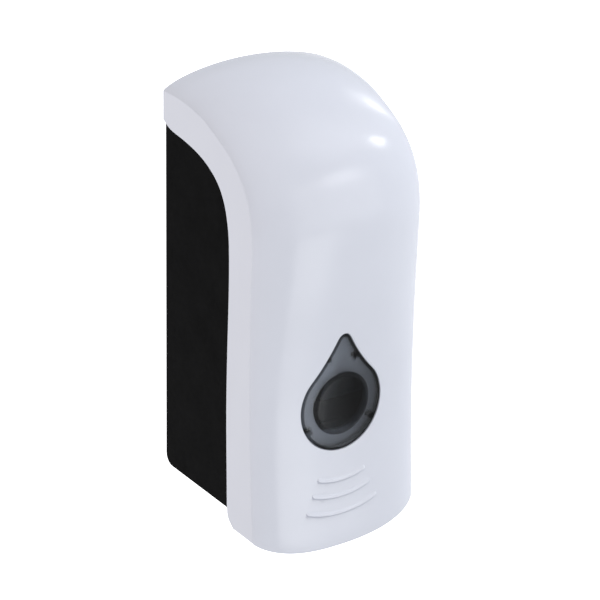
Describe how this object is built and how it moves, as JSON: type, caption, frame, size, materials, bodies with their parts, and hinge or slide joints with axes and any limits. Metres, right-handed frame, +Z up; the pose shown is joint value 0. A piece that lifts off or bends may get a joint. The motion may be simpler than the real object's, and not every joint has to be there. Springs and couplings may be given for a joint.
{
  "type": "wall mounted soap dispenser",
  "caption": "Wall mounted push-cover liquid soap dispenser: white curved cover with a drop-shaped level window, black rear housing, refillable tank, piston pump and key lock.",
  "frame": {"origin": "on the flat back face of the rear housing, on the centre line, 125 mm above the housing's underside", "axes": "+X to the right as seen from the front, +Y into the wall (the front faces -Y), +Z up"},
  "size_m": [0.12, 0.1123, 0.2837],
  "materials": {
    "cover_white_abs": "cool white moulded ABS, satin gloss",
    "housing_black_abs": "black moulded ABS, fine satin texture",
    "window_smoked_pc": "smoked transparent polycarbonate, polished",
    "frame_grey_pom": "grey acetal, as moulded",
    "tank_translucent_pp": "translucent natural polypropylene",
    "cap_blue_grey_pp": "blue-grey polypropylene, ribbed",
    "pump_white_pp": "white polypropylene, as moulded",
    "nozzle_black_abs": "black ABS",
    "seal_black_silicone": "black silicone rubber",
    "steel_zinc": "zinc plated steel",
    "lock_nickel": "nickel plated zinc lock barrel",
    "ball_stainless": "polished stainless steel ball",
    "spring_stainless": "drawn stainless spring wire"
  },
  "bodies": {
    "housing": {"rear_housing": "housing_black_abs", "pivot_pin_left": "steel_zinc", "pivot_pin_right": "steel_zinc", "tank_shelf": "pump_white_pp", "shelf_screw_left": "steel_zinc", "shelf_screw_right": "steel_zinc", "pump_cylinder": "pump_white_pp", "pump_screw_left": "steel_zinc", "pump_screw_right": "steel_zinc", "pump_end_cap": "pump_white_pp", "inlet_seat": "seal_black_silicone", "nozzle": "nozzle_black_abs", "drip_valve": "seal_black_silicone"},
    "push_frame": {"push_frame": "frame_grey_pom", "cover_pin_left": "steel_zinc", "cover_pin_right": "steel_zinc", "lock_keeper": "steel_zinc"},
    "cover": {"front_cover": "cover_white_abs", "level_window": "window_smoked_pc", "lock_clip": "steel_zinc"},
    "lock": {"lock_barrel": "lock_nickel", "lock_cam": "steel_zinc"},
    "piston": {"piston_rod": "frame_grey_pom", "piston_seal": "seal_black_silicone", "push_pad": "frame_grey_pom", "return_spring": "spring_stainless"},
    "tank": {"soap_tank": "tank_translucent_pp", "tank_outlet": "pump_white_pp", "outlet_o_ring": "seal_black_silicone"},
    "cap": {"tank_cap": "cap_blue_grey_pp", "cap_gasket": "seal_black_silicone"},
    "inlet_ball": {"inlet_ball": "ball_stainless"}
  },
  "joints": [
    {"name": "cover_push", "type": "hinge", "parent": "housing", "child": "push_frame", "pos_m": [0, -0.016, 0.097], "axis": [1, 0, 0], "range_deg": [0, 3], "stiffness_Nm_per_rad": 20, "springref_deg": -4.58},
    {"name": "cover_open", "type": "hinge", "parent": "push_frame", "child": "cover", "pos_m": [0, -0.09, -0.128], "axis": [1, 0, 0], "range_deg": [0, 95]},
    {"name": "lock_turn", "type": "hinge", "parent": "cover", "child": "lock", "pos_m": [0.054, -0.0872, 0.055], "axis": [1, 0, 0], "range_deg": [0, 90]},
    {"name": "piston_stroke", "type": "slide", "parent": "housing", "child": "piston", "axis": [0, 1, 0], "range_m": [0, 0.00995], "deforming": ["return_spring"]},
    {"name": "inlet_ball_lift", "type": "slide", "parent": "housing", "child": "inlet_ball", "axis": [0, 0, 1], "range_m": [0, 0.0008]},
    {"name": "tank_lift", "type": "slide", "parent": "housing", "child": "tank", "axis": [0, 0, 1], "range_m": [0, 0.008]},
    {"name": "cap_turn", "type": "hinge", "parent": "tank", "child": "cap", "pos_m": [0, -0.046, 0.09], "axis": [0, 0, 1], "range_deg": [0, 90]}
  ],
  "couplings": [
    {"joint": "piston_stroke", "follows": "cover_push", "m_per_rad": 0.19}
  ]
}
